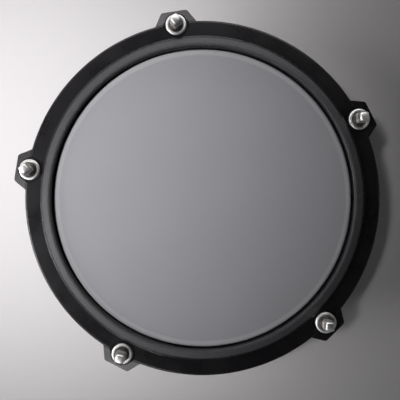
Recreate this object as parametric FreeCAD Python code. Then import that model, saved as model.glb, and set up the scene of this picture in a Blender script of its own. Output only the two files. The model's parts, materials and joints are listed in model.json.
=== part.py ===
"""Electronic drum pad: an 8 inch mesh-head trigger pad with five tension rods.

Frame: millimetres, +Z up, origin on the drum's axis in the plane of the flat base, one lug on +Y.
From the bottom: a base pan holds the jack, the socket for a mounting rod and its clamp; a drum shell
stands on it with the sensors inside; the mesh head lies over the shell's bearing edge, and the hoop,
pulled down by the rods, stretches it. The hoop slides along Z, each rod turns as the hoop travels,
and the clamp's shoe slides along Y as the wing bolt turns.
"""
import FreeCAD, Part
import math
import os

# ---- driving dimensions ----------------------------------------------------------------------
LUGS = 5
LUG_STEP = 360.0 / LUGS
FIRST_LUG = 90.0
ROD_CIRCLE = 115.7        # radius of the circle that the tension rods stand on

EDGE_Z = 60.0             # top of the bearing edge
SHELL_R = 98.0            # outside of the drum shell
SHELL_WALL = 4.0
EDGE_FLAT_R = 96.4        # where the bearing edge starts to round over
WAIST_R = 86.0            # outside of the shell where it meets the pan
WAIST_WALL = 3.5

MESH_THICK = 0.5
MESH_GAP = 0.1            # mesh to shell
MESH_SKIRT_Z = 43.0       # lower edge of the mesh, beside the flesh hoop

RIM_R = 99.2              # inside of the hoop
HOOP_R = 117.4            # outside of the hoop's skirt
HOOP_BOTTOM = 46.0
FLESH_TOP = 46.5          # the hoop presses on the flesh hoop here
FLANGE_TOP = 61.0
FLANGE_UNDER = 58.0
RIM_TOP = 64.0
CUSHION_IN, CUSHION_OUT = 100.0, 105.0
CUSHION_SEAT = 63.0
CUSHION_TOP = 66.3        # at the inner edge, from where the ring falls away outwards
CUSHION_FALL = 1.2

EAR_R = 125.6             # flat outer face of an ear
EAR_HALF = 8.6            # half the width of that face
EAR_BOTTOM = 45.4
EAR_TOP = 60.3
EAR_FALL = 13.0           # degrees that the ear's top falls away outwards
SEAT_R = 7.8              # boss under a washer
SEAT_Z = 60.6

ROD_R = 3.0               # M6 thread
ROD_NECK_R = 2.7
ROD_END = 23.0
THREAD_TOP = 49.0
WASHER_R = 6.8
WASHER_FLOOR = 0.6        # thickness under the rod's collar
WASHER_RIM = 1.4          # height of the rim round the collar
WASHER_CUP_R = 5.3
COLLAR_R = 5.0
COLLAR_TALL = 2.6
HEAD_FLATS = 6.2
HEAD_TOP = 73.0
HEAD_TURNS = (30.0, 52.0, 12.0, 40.0, 66.0)   # how each square head happens to stand

LUG_R = 124.4
LUG_HALF = 5.8
LUG_TOP = 38.0
LUG_BOTTOM = 24.2
NUT_FLATS = 10.0
NUT_FLANGE_R = 6.4

PAN_TOP = 24.0
PAN_R = 84.0              # outside of the pan at its top
PAN_FOOT_R = 81.0
PAN_WALL = 2.5
PAN_FLOOR = 3.0
SCREW_CIRCLE = 73.0
SCREW_SEAT = 18.0         # where the heads of the pan's screws bear
BOSS_TOP = 40.0

PLATE_R = 66.0
PLATE_Z = 41.5            # underside of the sensor plate
PLATE_THICK = 1.2
WELL_R, WELL_Z = 25.5, 33.5

JACK_TURN = 342.0
JACK_Z = 13.25
JACK_PANEL = 75.5         # outer face of the recessed panel
JACK_BORE = 3.2
JACK_THREAD_R = 4.6

CLAMP_Y = -60.0           # axis of the mounting rod's socket
CLAMP_BORE = 5.4
BOLT_Z = 15.0
BOLT_R = 4.0
WING_SPAN = 14.0

RUN_GAP = 0.05            # running clearance of a shaft in its hole
Z_AXIS = FreeCAD.Vector(0, 0, 1)


# ---- helpers ---------------------------------------------------------------------------------
def in_plan(x, y):
    return FreeCAD.Vector(x, y, 0)


def in_section(r, z):
    return FreeCAD.Vector(r, 0, z)


def outline(corners, place):
    """A closed face from (a, b, radius) corners, each rounded by a tangent arc of its radius."""
    joints = []
    for i, (a, b, radius) in enumerate(corners):
        corner = place(a, b)
        back = place(*corners[i - 1][:2]) - corner
        ahead = place(*corners[(i + 1) % len(corners)][:2]) - corner
        back.normalize()
        ahead.normalize()
        if radius == 0:
            joints.append((corner, None, corner))
            continue
        half = back.getAngle(ahead) / 2
        inward = back + ahead
        inward.normalize()
        reach = radius / math.tan(half)
        middle = corner + inward * (radius / math.sin(half) - radius)
        joints.append((corner + back * reach, middle, corner + ahead * reach))
    edges = []
    for i, (start, middle, end) in enumerate(joints):
        last = joints[i - 1][2]
        if (start - last).Length > 1e-6:
            edges.append(Part.LineSegment(last, start).toShape())
        if middle is not None:
            edges.append(Part.Arc(start, middle, end).toShape())
    return Part.Face(Part.Wire(edges))


def sharp(points):
    return [(a, b, 0) for a, b in points]


def turned(corners):
    """A solid of revolution about Z from corners in the (radius, height) plane."""
    return outline(corners, in_section).revolve(FreeCAD.Vector(), Z_AXIS, 360)


def prism(corners, low, high):
    """A plan outline pulled up from one height to another."""
    face = outline(corners, in_plan)
    face.translate(FreeCAD.Vector(0, 0, low))
    return face.extrude(FreeCAD.Vector(0, 0, high - low))


def side_slab(corners, width):
    """An outline in the (x, height) plane made into a slab, centred on y = 0."""
    face = outline(corners, in_section)
    face.translate(FreeCAD.Vector(0, -width / 2, 0))
    return face.extrude(FreeCAD.Vector(0, width, 0))


def drum(radius, low, high, x=0.0, y=0.0):
    return Part.makeCylinder(radius, high - low, FreeCAD.Vector(x, y, low))


def tube(outer, inner, low, high, x=0.0, y=0.0):
    return drum(outer, low, high, x, y).cut(drum(inner, low - 1, high + 1, x, y))


def block(x0, x1, y0, y1, z0, z1):
    return Part.makeBox(x1 - x0, y1 - y0, z1 - z0, FreeCAD.Vector(x0, y0, z0))


def hexagon(flats, low, high, x=0.0, y=0.0):
    """A hexagonal prism, given its width across flats."""
    reach = flats / math.sqrt(3)
    turns = [math.radians(60 * i) for i in range(6)]
    return prism(sharp([(x + reach * math.cos(a), y + reach * math.sin(a)) for a in turns]), low, high)


def spun(shape, degrees):
    """A copy of the shape turned about the drum's axis."""
    copy = shape.copy()
    copy.rotate(FreeCAD.Vector(), Z_AXIS, degrees)
    return copy


def moved(shape, x, y, z):
    copy = shape.copy()
    copy.translate(FreeCAD.Vector(x, y, z))
    return copy


def lug_turns():
    return [FIRST_LUG + LUG_STEP * i for i in range(LUGS)]


def at_lugs(shape):
    """The shape, drawn on +X, repeated at each lug."""
    return [spun(shape, turn) for turn in lug_turns()]


def between_lugs(shape):
    return [spun(shape, turn + LUG_STEP / 2) for turn in lug_turns()]


def lying(shape, height):
    """A solid drawn along Z, laid along +X at a height: its Z becomes X."""
    copy = shape.copy()
    copy.rotate(FreeCAD.Vector(), FreeCAD.Vector(0, 1, 0), 90)
    copy.translate(FreeCAD.Vector(0, 0, height))
    return copy


def group(solids):
    return Part.makeCompound(solids)


def cross_recess(depth, reach, width):
    """The cutter for a cross-head recess, pointing down from z = 0."""
    arm = block(-reach, reach, -width / 2, width / 2, -depth, 0.5)
    return arm.fuse(block(-width / 2, width / 2, -reach, reach, -depth, 0.5))


def upended(shape):
    copy = shape.copy()
    copy.rotate(FreeCAD.Vector(), FreeCAD.Vector(1, 0, 0), 180)
    return copy


def lead(points, radius, bend):
    """A round lead along straight runs joined by tangent arcs."""
    corners = [FreeCAD.Vector(*p) for p in points]
    edges = []
    last = corners[0]
    for before, corner, after in zip(corners, corners[1:], corners[2:]):
        back = before - corner
        ahead = after - corner
        room = 0.45 * min(back.Length, ahead.Length)
        back.normalize()
        ahead.normalize()
        half = back.getAngle(ahead) / 2
        arc = min(bend, room * math.tan(half))
        reach = arc / math.tan(half)
        inward = back + ahead
        inward.normalize()
        start = corner + back * reach
        end = corner + ahead * reach
        edges.append(Part.LineSegment(last, start).toShape())
        edges.append(Part.Arc(start, corner + inward * (arc / math.sin(half) - arc), end).toShape())
        last = end
    edges.append(Part.LineSegment(last, corners[-1]).toShape())
    spine = Part.Wire(edges)
    section = Part.Wire(Part.makeCircle(radius, corners[0], corners[1] - corners[0]))
    return spine.makePipeShell([section], True, True)


# ---- the hoop and what travels with it -------------------------------------------------------
def ear():
    """One ear on +X: a half hexagon whose top falls away outwards and whose underside tapers."""
    wide = 14.7
    root = HOOP_R - 2.9
    reach = EAR_R + 2.0
    fall = (reach - HOOP_R) * math.tan(math.radians(EAR_FALL))
    plan = prism([(104.0, -11.0, 0), (root, -wide, 0), (EAR_R, -EAR_HALF, 2.0), (EAR_R, EAR_HALF, 2.0),
                  (root, wide, 0), (104.0, 11.0, 0)], EAR_BOTTOM, EAR_TOP)
    roof = turned(sharp([(100.0, EAR_BOTTOM), (reach, EAR_BOTTOM), (reach, EAR_TOP - fall),
                         (HOOP_R, EAR_TOP), (100.0, EAR_TOP)]))
    taper = side_slab([(100.0, 55.0, 0), (108.0, EAR_BOTTOM, 1.5), (120.5, EAR_BOTTOM, 2.0),
                       (reach, 51.5, 0), (reach, FLANGE_TOP, 0), (100.0, FLANGE_TOP, 0)], 2 * wide)
    return plan.common(roof).common(taper)


def make_hoop():
    body = turned([
        (RIM_R, FLESH_TOP, 0.4), (RIM_R, RIM_TOP, 0.6),
        (CUSHION_IN - 0.1, RIM_TOP, 0), (CUSHION_IN - 0.1, CUSHION_SEAT, 0),
        (CUSHION_OUT + 0.1, CUSHION_SEAT, 0), (CUSHION_OUT + 0.1, RIM_TOP, 0),
        (CUSHION_OUT + 1.0, RIM_TOP, 0.7), (CUSHION_OUT + 1.6, FLANGE_TOP, 0.8),
        (HOOP_R, FLANGE_TOP, 1.4), (HOOP_R, HOOP_BOTTOM, 0.6), (HOOP_R - 2.8, HOOP_BOTTOM, 0.6),
        (HOOP_R - 2.8, FLANGE_UNDER, 1.5), (102.6, FLANGE_UNDER, 1.5), (102.6, FLESH_TOP, 0.4)])
    recess = Part.makeCone(SEAT_R + 0.5, SEAT_R + 0.9, 1.2, FreeCAD.Vector(ROD_CIRCLE, 0, SEAT_Z - 0.6))
    boss = Part.makeCone(SEAT_R + 0.2, SEAT_R, 3.1, FreeCAD.Vector(ROD_CIRCLE, 0, SEAT_Z - 3.1))
    hole = drum(ROD_R + 0.4, EAR_BOTTOM - 5, EAR_TOP + 5, ROD_CIRCLE)
    body = body.multiFuse(at_lugs(ear())).cut(group(at_lugs(recess)))
    return body.multiFuse(at_lugs(boss)).cut(group(at_lugs(hole)))


def make_rim_cushion():
    """The rubber ring that a stick meets on a rim shot."""
    return turned([(CUSHION_IN, CUSHION_SEAT, 0), (CUSHION_IN, CUSHION_TOP, 0.9),
                   (CUSHION_OUT, CUSHION_TOP - CUSHION_FALL, 1.0), (CUSHION_OUT, CUSHION_SEAT, 0)])


def make_flesh_hoop():
    """The ring that the lower edge of the mesh is moulded into."""
    return turned([(99.1, 41.6, 0.8), (103.4, 41.6, 0.8), (103.4, FLESH_TOP, 0.5), (99.1, FLESH_TOP, 0.5)])


def make_washers():
    """Cup washers: a thin floor under the rod's collar and a rounded rim round it."""
    hole = ROD_R + 0.3
    floor = SEAT_Z + WASHER_FLOOR
    rim = SEAT_Z + WASHER_RIM
    ring = turned([(hole, SEAT_Z, 0), (hole, floor, 0), (WASHER_CUP_R, floor, 0), (WASHER_CUP_R, rim, 0.5),
                   (WASHER_R, rim, 0.8), (WASHER_R, SEAT_Z, 0)])
    return group(at_lugs(moved(ring, ROD_CIRCLE, 0, 0)))


def make_rod(head_turn):
    """One tension rod on +X: threaded shank, round collar and a square head for the drum key."""
    base = SEAT_Z + WASHER_FLOOR
    shoulder = base + COLLAR_TALL
    body = turned([
        (0, ROD_END, 0), (ROD_R - 0.8, ROD_END, 0), (ROD_R, ROD_END + 0.8, 0), (ROD_R, THREAD_TOP, 0),
        (ROD_NECK_R, THREAD_TOP + 0.5, 0), (ROD_NECK_R, base, 0), (COLLAR_R, base, 0.2),
        (COLLAR_R, base + 0.6, 0.4), (3.5, shoulder, 0), (0, shoulder, 0)])
    half = HEAD_FLATS / 2
    head = prism([(-half, -half, 0.7), (half, -half, 0.7), (half, half, 0.7), (-half, half, 0.7)],
                 base + 1.0, HEAD_TOP)
    crown = turned([(0, base, 0), (half * 1.45, base, 0), (half * 1.45, HEAD_TOP - 1.9, 0),
                    (half * 0.85, HEAD_TOP, 0.6), (0, HEAD_TOP, 0)])
    head = head.common(crown)
    head.rotate(FreeCAD.Vector(), Z_AXIS, head_turn)
    return moved(body.fuse(head), ROD_CIRCLE, 0, 0)


# ---- the head, the shell and its lugs --------------------------------------------------------
def make_mesh_head():
    """The woven head: a flat disc that rolls over the bearing edge and hangs down beside it."""
    inner_r = SHELL_R + MESH_GAP
    outer_r = inner_r + MESH_THICK
    low = EDGE_Z + MESH_GAP
    high = low + MESH_THICK
    roll = SHELL_R - EDGE_FLAT_R + MESH_GAP
    return turned([(0, low, 0), (inner_r, low, roll), (inner_r, MESH_SKIRT_Z, 0),
                   (outer_r, MESH_SKIRT_Z, 0), (outer_r, high, roll + MESH_THICK), (0, high, 0)])


def lug():
    """One lug on +X: a half hexagon whose underside slopes back to the shell's waist."""
    plan = prism([(84.2, -10.2, 0), (113.5, -10.2, 1.5), (LUG_R, -LUG_HALF, 2.0), (LUG_R, LUG_HALF, 2.0),
                  (113.5, 10.2, 1.5), (84.2, 10.2, 0)], LUG_BOTTOM, LUG_TOP)
    side = side_slab([(84.2, LUG_BOTTOM, 0), (103.0, LUG_BOTTOM, 4.0), (LUG_R + 1, 31.0, 1.0),
                      (LUG_R + 1, LUG_TOP, 0), (96.0, LUG_TOP, 0), (96.0, 34.0, 0), (84.2, 27.0, 0)], 24.0)
    return plan.common(side)


def make_shell():
    inner_r = SHELL_R - SHELL_WALL
    waist_in = WAIST_R - WAIST_WALL
    body = turned([
        (WAIST_R, PAN_TOP, 0), (WAIST_R, 27.0, 2.0), (SHELL_R, 34.5, 3.0),
        (SHELL_R, EDGE_Z, SHELL_R - EDGE_FLAT_R), (inner_r, EDGE_Z, 0.9),
        (inner_r, 36.4, 3.0), (waist_in, 28.7, 1.0), (waist_in, PAN_TOP, 0)])
    body = body.multiFuse(at_lugs(lug()))
    boss = drum(5.0, PAN_TOP, BOSS_TOP, SCREW_CIRCLE)
    web = side_slab(sharp([(SCREW_CIRCLE, 27.0), (WAIST_R - 1.5, 27.0), (SHELL_R - 2.0, 35.0),
                           (SHELL_R - 2.0, 37.0), (SCREW_CIRCLE, 37.0)]), 4.0)
    body = body.multiFuse(at_lugs(boss.fuse(web)))
    rod_hole = drum(ROD_R + 0.4, LUG_BOTTOM - 1, LUG_TOP + 1, ROD_CIRCLE)
    pocket = hexagon(NUT_FLATS + 0.2, LUG_TOP - 10.0, LUG_TOP + 1, ROD_CIRCLE)
    flange_seat = drum(NUT_FLANGE_R + 0.1, LUG_TOP - 1.2, LUG_TOP + 1, ROD_CIRCLE)
    low_pilot = drum(1.65, PAN_TOP - 1, 32.6, SCREW_CIRCLE)
    high_pilot = drum(1.65, 34.2, BOSS_TOP + 1, SCREW_CIRCLE)
    cutters = []
    for cutter in (rod_hole, pocket, flange_seat, low_pilot, high_pilot):
        cutters += at_lugs(cutter)
    return body.cut(group(cutters))


def make_lug_nuts():
    """Captive nuts that drop into the lugs from above and take the rods' threads."""
    nut = hexagon(NUT_FLATS, LUG_TOP - 10.0, LUG_TOP - 1.2, ROD_CIRCLE)
    nut = nut.fuse(drum(NUT_FLANGE_R, LUG_TOP - 1.2, LUG_TOP, ROD_CIRCLE))
    nut = nut.cut(drum(ROD_R + RUN_GAP, LUG_TOP - 12.0, LUG_TOP + 1, ROD_CIRCLE))
    return group(at_lugs(nut))


# ---- the base pan ----------------------------------------------------------------------------
def pan_envelope():
    return turned([(0, 0, 0), (PAN_FOOT_R, 0, 2.5), (PAN_R, PAN_TOP, 0), (0, PAN_TOP, 0)])


def make_pan():
    lip_out = WAIST_R - WAIST_WALL - 0.2
    lip_in = lip_out - 2.1
    body = turned([
        (0, 0, 0), (PAN_FOOT_R, 0, 2.5), (PAN_R, PAN_TOP, 0), (lip_out, PAN_TOP, 0),
        (lip_out, PAN_TOP + 2.5, 0.4), (lip_in, PAN_TOP + 2.5, 0.4),
        (PAN_FOOT_R - PAN_WALL, PAN_FLOOR, 1.5), (0, PAN_FLOOR, 0)])
    body = body.multiFuse(at_lugs(drum(6.0, PAN_FLOOR - 1, PAN_TOP, SCREW_CIRCLE)))
    panel = block(JACK_PANEL - 2.5, PAN_R + 2, -14.0, 14.0, PAN_FLOOR - 1, PAN_TOP)
    landing = block(-12.0, 12.0, -PAN_R - 2, CLAMP_Y - 20.2, PAN_FLOOR - 1, PAN_TOP)
    body = body.fuse(spun(panel, JACK_TURN).common(pan_envelope()))
    body = body.fuse(landing.common(pan_envelope()))
    well = drum(4.2, -1, SCREW_SEAT, SCREW_CIRCLE)
    cutters = at_lugs(well.fuse(drum(1.9, SCREW_SEAT - 1, PAN_TOP + 1, SCREW_CIRCLE)))
    cutters += base_pockets()
    cutters.append(spun(block(JACK_PANEL, PAN_R + 5, -11.0, 11.0, 4.5, 22.0), JACK_TURN))
    cutters.append(spun(lying(drum(JACK_THREAD_R + 0.2, 65.0, 90.0), JACK_Z), JACK_TURN))
    cutters.append(drum(10.2, -1, PAN_FLOOR + 1, 0, CLAMP_Y))
    cutters.append(block(-9.7, 9.7, CLAMP_Y - 20.2, CLAMP_Y, PAN_FLOOR, PAN_TOP + 3))
    cutters += [countersink(x, y) for x, y in CLAMP_SCREWS]
    cutters.append(spun(lying(drum(BOLT_R + 0.7, 70.0, 95.0), BOLT_Z), 270.0))
    return body.cut(group(cutters))


def base_pockets():
    """Shallow sectors sunk into the underside, which leave a hub, five ribs and a standing ring."""
    hub, ring, depth, rib = 20.0, 62.0, 1.2, 8.0
    sector = tube(ring, hub, -1, depth)
    spokes = between_lugs(block(0, ring + 2, -rib / 2, rib / 2, -2, depth + 1))
    around_clamp = block(-25.0, 25.0, CLAMP_Y - 10, CLAMP_Y + 24, -2, depth + 1)
    return sector.cut(group(spokes)).cut(around_clamp).Solids


CLAMP_SCREWS = ((-17.0, CLAMP_Y), (17.0, CLAMP_Y), (0.0, CLAMP_Y + 17.0))


def countersink(x, y):
    cone = Part.makeCone(4.0, 2.1, 1.9, FreeCAD.Vector(x, y, 0.2))
    return cone.multiFuse([drum(4.0, -1, 0.2, x, y), drum(2.1, 1.9, PAN_FLOOR + 1, x, y)])


def make_pan_screws():
    """Self-tapping screws up through the pan's columns into the shell."""
    low = SCREW_SEAT - 2.4
    tip = 32.4
    body = turned([(0, low, 0), (3.4, low, 0.9), (3.4, SCREW_SEAT, 0), (1.6, SCREW_SEAT, 0),
                   (1.6, tip - 0.8, 0), (0.6, tip, 0), (0, tip, 0)])
    screw = body.cut(moved(upended(cross_recess(1.3, 1.9, 0.8)), 0, 0, low))
    return group(at_lugs(moved(screw, SCREW_CIRCLE, 0, 0)))


# ---- sensors ---------------------------------------------------------------------------------
def make_trigger_plate():
    """A pressed steel plate with a central well, five holes and five tabs."""
    top = PLATE_Z + PLATE_THICK
    body = turned([
        (0, WELL_Z, 0), (WELL_R, WELL_Z, 1.5), (WELL_R + 7, PLATE_Z, 2.5), (PLATE_R, PLATE_Z, 0),
        (PLATE_R, top, 0), (WELL_R + 6.5, top, 1.5), (WELL_R - 0.5, WELL_Z + PLATE_THICK, 2.5),
        (0, WELL_Z + PLATE_THICK, 0)])
    tab = block(PLATE_R - 4, SCREW_CIRCLE, -7.5, 7.5, PLATE_Z, top)
    body = body.multiFuse(at_lugs(tab.fuse(drum(7.5, PLATE_Z, top, SCREW_CIRCLE))))
    holes = at_lugs(drum(4.5, PLATE_Z - 1, top + 1, SCREW_CIRCLE))
    holes += between_lugs(drum(9.0, PLATE_Z - 1, top + 1, 50.0))
    return body.cut(group(holes))


def make_grommets():
    """Rubber spools that hold the plate off the shell."""
    top = PLATE_Z + PLATE_THICK
    spool = turned([
        (1.8, BOSS_TOP, 0), (6.2, BOSS_TOP, 0.5), (6.2, PLATE_Z - 0.05, 0.3), (4.4, PLATE_Z - 0.05, 0),
        (4.4, top + 0.05, 0), (6.2, top + 0.05, 0.3), (6.2, top + 1.5, 0.5), (1.8, top + 1.5, 0)])
    return group(at_lugs(moved(spool, SCREW_CIRCLE, 0, 0)))


def make_plate_screws():
    seat = PLATE_Z + PLATE_THICK + 1.5
    screw = turned([
        (0, 34.6, 0), (0.8, 34.6, 0), (1.6, 35.4, 0), (1.6, seat, 0), (5.0, seat, 0),
        (5.0, seat + 0.8, 0.2), (2.8, seat + 0.8, 0), (2.8, seat + 2.6, 0.8), (0, seat + 2.6, 0)])
    screw = screw.cut(moved(cross_recess(1.4, 1.7, 0.7), 0, 0, seat + 2.6))
    return group(at_lugs(moved(screw, SCREW_CIRCLE, 0, 0)))


PAD_THICK = 2.0
DISC_THICK = 0.25
HEAD_PIEZO_Z = WELL_Z + PLATE_THICK + PAD_THICK
RIM_PIEZO_R, RIM_PIEZO_TURN = 48.0, 162.0
RIM_PIEZO_Z = PLATE_Z + PLATE_THICK + 1.0


def make_piezo_pad():
    return drum(15.5, WELL_Z + PLATE_THICK, HEAD_PIEZO_Z)


def make_head_piezo():
    return drum(17.5, HEAD_PIEZO_Z, HEAD_PIEZO_Z + DISC_THICK)


def make_head_ceramic():
    return drum(12.5, HEAD_PIEZO_Z + DISC_THICK, HEAD_PIEZO_Z + 2 * DISC_THICK)


def make_foam_cone():
    """The foam cone that carries a hit from the mesh to the sensor."""
    low = HEAD_PIEZO_Z + 2 * DISC_THICK
    high = EDGE_Z + MESH_GAP - 0.05
    return turned([(0, low, 0), (14.5, low, 0.6), (14.5, low + 3.0, 1.0), (5.5, high, 0.8), (0, high, 0)])


def rim_place(shape):
    return spun(moved(shape, RIM_PIEZO_R, 0, 0), RIM_PIEZO_TURN)


def make_rim_pad():
    return rim_place(drum(12.0, PLATE_Z + PLATE_THICK, RIM_PIEZO_Z))


def make_rim_piezo():
    return rim_place(drum(13.5, RIM_PIEZO_Z, RIM_PIEZO_Z + DISC_THICK))


def make_rim_ceramic():
    return rim_place(drum(9.5, RIM_PIEZO_Z + DISC_THICK, RIM_PIEZO_Z + 2 * DISC_THICK))


# ---- output jack, its board and the leads ----------------------------------------------------
BODY_IN, BODY_OUT = 38.0, 71.0
BOARD_Z = 20.7
BOARD_THICK = 1.6
BOARD_TOP = BOARD_Z + BOARD_THICK
CONTACTS = (44.0, 52.0, 60.0)


def jack_place(shape):
    return spun(shape, JACK_TURN)


def make_jack_bushing():
    inside = BODY_OUT - 2.0
    flange = lying(tube(6.2, JACK_BORE, BODY_OUT + 0.05, JACK_PANEL - 2.55), JACK_Z)
    return jack_place(lying(tube(JACK_THREAD_R, JACK_BORE, inside, JACK_PANEL + 5.0), JACK_Z).fuse(flange))


def make_jack_body():
    body = block(BODY_IN, BODY_OUT, -8.5, 8.5, 6.0, BOARD_Z - 0.05)
    plug_room = lying(drum(3.7, BODY_IN + 2, BODY_OUT + 1), JACK_Z)
    neck = lying(drum(JACK_THREAD_R + RUN_GAP, BODY_OUT - 2.05, BODY_OUT + 1), JACK_Z)
    slots = [block(x - 2.3, x + 2.3, 3.0, 9.0, JACK_Z - 1.5, JACK_Z + 1.5) for x in CONTACTS]
    return jack_place(body.cut(group([plug_room, neck] + slots)))


def make_jack_contacts():
    """Three leaf springs with legs that pass up through the board."""
    leaves = []
    for x in CONTACTS:
        leaf = block(x - 2.0, x + 2.0, 8.7, 9.2, JACK_Z - 4.0, BOARD_Z - 1.5)
        tongue = block(x - 2.0, x + 2.0, 4.2, 9.2, JACK_Z - 0.3, JACK_Z + 0.3)
        leg = block(x - 0.8, x + 0.8, 8.7, 9.2, BOARD_Z - 2.0, BOARD_TOP + 1.2)
        leaves.append(leaf.multiFuse([tongue, leg]))
    return jack_place(group(leaves))


def make_jack_nut():
    nut = hexagon(13.0, JACK_PANEL + 0.85, JACK_PANEL + 3.3)
    dome = turned([(0, JACK_PANEL, 0), (7.6, JACK_PANEL, 0), (7.6, JACK_PANEL + 2.6, 0),
                   (6.6, JACK_PANEL + 3.3, 0), (0, JACK_PANEL + 3.3, 0)])
    nut = nut.common(dome).cut(drum(JACK_THREAD_R + RUN_GAP, JACK_PANEL, JACK_PANEL + 5))
    return jack_place(lying(nut, JACK_Z))


def make_jack_washer():
    return jack_place(lying(tube(7.9, 4.7, JACK_PANEL + 0.02, JACK_PANEL + 0.82), JACK_Z))


def make_board():
    board = block(36.0, 70.0, -13.0, 13.0, BOARD_Z, BOARD_TOP)
    holes = [block(x - 1.0, x + 1.0, 8.5, 9.4, BOARD_Z - 1, BOARD_TOP + 1) for x in CONTACTS]
    return jack_place(board.cut(group(holes)))


def make_board_parts():
    """Two resistors and a capacitor, lying on the board."""
    resistors = []
    for x in (56.0, 61.0):
        body = turned([(0, -3, 0), (1.1, -3, 0.5), (1.1, 3, 0.5), (0, 3, 0)])
        wire = drum(0.3, -4.5, 4.5)
        both = body.fuse(wire)
        both.rotate(FreeCAD.Vector(), FreeCAD.Vector(1, 0, 0), 90)
        resistors.append(moved(both, x, -4.0, BOARD_TOP + 1.15))
    can = turned([(0, 0, 0), (2.5, 0, 0), (2.5, 5.0, 0.5), (0, 5.0, 0)])
    return jack_place(group(resistors + [moved(can, 66.0, 1.5, BOARD_TOP + 0.02)]))


def make_lead_header():
    """A four-way plug and socket for the sensors' leads."""
    socket = block(41.0, 47.0, -6.0, 4.0, BOARD_TOP, BOARD_TOP + 5.0)
    plug = block(42.0, 46.0, -5.0, 3.0, BOARD_TOP + 5.0, BOARD_TOP + 6.5)
    return jack_place(socket.fuse(plug))


LEAD_R = 0.9


def make_head_lead():
    """Two-core lead from the centre sensor, out of the well and down through a hole in the plate."""
    start = HEAD_PIEZO_Z + DISC_THICK + LEAD_R + 0.1
    over = PLATE_Z + PLATE_THICK + LEAD_R + 0.2
    route = [(16.2, -3.0, start), (21.0, -3.0, start + 0.4), (30.0, -3.0, over + 1.2), (44.0, -3.0, over),
             (44.0, -3.0, BOARD_TOP + 6.6)]
    return jack_place(lead(route, LEAD_R, 4.0))


def make_rim_lead():
    """Two-core lead from the rim sensor, round the well and down beside the other."""
    start = RIM_PIEZO_Z + DISC_THICK + LEAD_R + 0.1
    over = PLATE_Z + PLATE_THICK + LEAD_R + 0.2
    away = [(36.0, 180.0, start), (36.0, 167.0, start), (37.0, 145.0, over), (37.0, 115.0, over),
            (37.0, 80.0, over), (38.0, 45.0, over), (40.0, 18.0, over)]
    route = [(r * math.cos(math.radians(a)), r * math.sin(math.radians(a)), z) for r, a, z in away]
    route += [(45.0, 1.0, over), (45.0, 1.0, BOARD_TOP + 6.6)]
    return jack_place(lead(route, LEAD_R, 4.0))


# ---- the mounting rod's socket and clamp -----------------------------------------------------
SOCKET_TOP = 30.0
SHOE_HALF = 4.4
SHOE_BACK = -70.1
POCKET_BACK = -73.4
NUT_FRONT, NUT_BACK = -73.6, -80.1


def along_y(radius, near, far):
    """A cylinder along -Y at the bolt's height, from one y to another."""
    return spun(lying(drum(radius, -near, -far), BOLT_Z), 270.0)


def make_rod_clamp():
    """Die-cast socket for the mounting rod, with a flange on the pan's floor and an arm for the bolt."""
    barrel = drum(10.0, 0.3, SOCKET_TOP, 0, CLAMP_Y)
    arm = block(-9.5, 9.5, NUT_BACK, CLAMP_Y, PAN_FLOOR, 24.5)
    flange = prism([(-23.0, CLAMP_Y - 7, 3), (23.0, CLAMP_Y - 7, 3), (23.0, CLAMP_Y + 7, 3),
                    (6.0, CLAMP_Y + 23, 4), (-6.0, CLAMP_Y + 23, 4), (-23.0, CLAMP_Y + 7, 3)],
                   PAN_FLOOR, PAN_FLOOR + 4.0)
    body = barrel.multiFuse([arm, flange])
    bore = drum(CLAMP_BORE, -1, SOCKET_TOP - 2.5, 0, CLAMP_Y)
    reach = SHOE_HALF + 0.15
    pocket = block(-reach, reach, POCKET_BACK, CLAMP_Y, BOLT_Z - reach, BOLT_Z + reach)
    bolt_way = along_y(BOLT_R + 0.4, -70.0, -85.0)
    nut_seat = spun(lying(hexagon(13.2, -NUT_FRONT, -NUT_BACK + 1), BOLT_Z), 270.0)
    threads = [drum(1.85, 0, PAN_FLOOR + 5, x, y) for x, y in CLAMP_SCREWS]
    return body.cut(group([bore, pocket, bolt_way, nut_seat] + threads))


def make_clamp_screws():
    """Countersunk screws up through the pan into the socket's flange."""
    screws = []
    for x, y in CLAMP_SCREWS:
        screw = turned([(0, 0.3, 0), (3.7, 0.3, 0), (1.8, 2.2, 0), (1.8, 6.5, 0), (0, 6.5, 0)])
        recess = upended(cross_recess(1.2, 2.0, 0.8))
        screws.append(moved(screw.cut(moved(recess, 0, 0, 0.3)), x, y, 0))
    return group(screws)


def make_clamp_nut():
    nut = hexagon(13.0, -NUT_FRONT + 0.05, -NUT_BACK - 0.05)
    return spun(lying(nut.cut(drum(BOLT_R + RUN_GAP, 70, 90)), BOLT_Z), 270.0)


def make_clamp_shoe():
    """The sliding shoe: its front continues the wall of the socket's bore."""
    shoe = block(-SHOE_HALF, SHOE_HALF, SHOE_BACK, CLAMP_Y, BOLT_Z - SHOE_HALF, BOLT_Z + SHOE_HALF)
    return shoe.cut(drum(CLAMP_BORE + 0.05, 0, SOCKET_TOP, 0, CLAMP_Y))


def make_wing_bolt():
    tip = along_y(BOLT_R - 0.9, SHOE_BACK - 0.02, SHOE_BACK - 1.2)
    return tip.fuse(along_y(BOLT_R, SHOE_BACK - 1.2, -101.0))


def make_wing_knob():
    """A moulded hub with two wings, fixed on the bolt's outer end."""
    hub = turned([(BOLT_R, 89.0, 0), (7.0, 89.0, 0.8), (7.8, 103.5, 2.0), (0, 103.5, 0), (0, 101.0, 0),
                  (BOLT_R, 101.0, 0)])
    wing = side_slab([(4.5, 92.5, 0), (11.0, 95.0, 3.0), (WING_SPAN, 99.5, 2.5), (WING_SPAN, 109.0, 2.8),
                      (8.0, 109.5, 2.5), (4.5, 102.0, 0)], 4.8)
    knob = hub.multiFuse([wing, spun(wing, 180)])
    knob.rotate(FreeCAD.Vector(), Z_AXIS, WING_TURN)
    return spun(lying(knob, BOLT_Z), 270.0)


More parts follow.
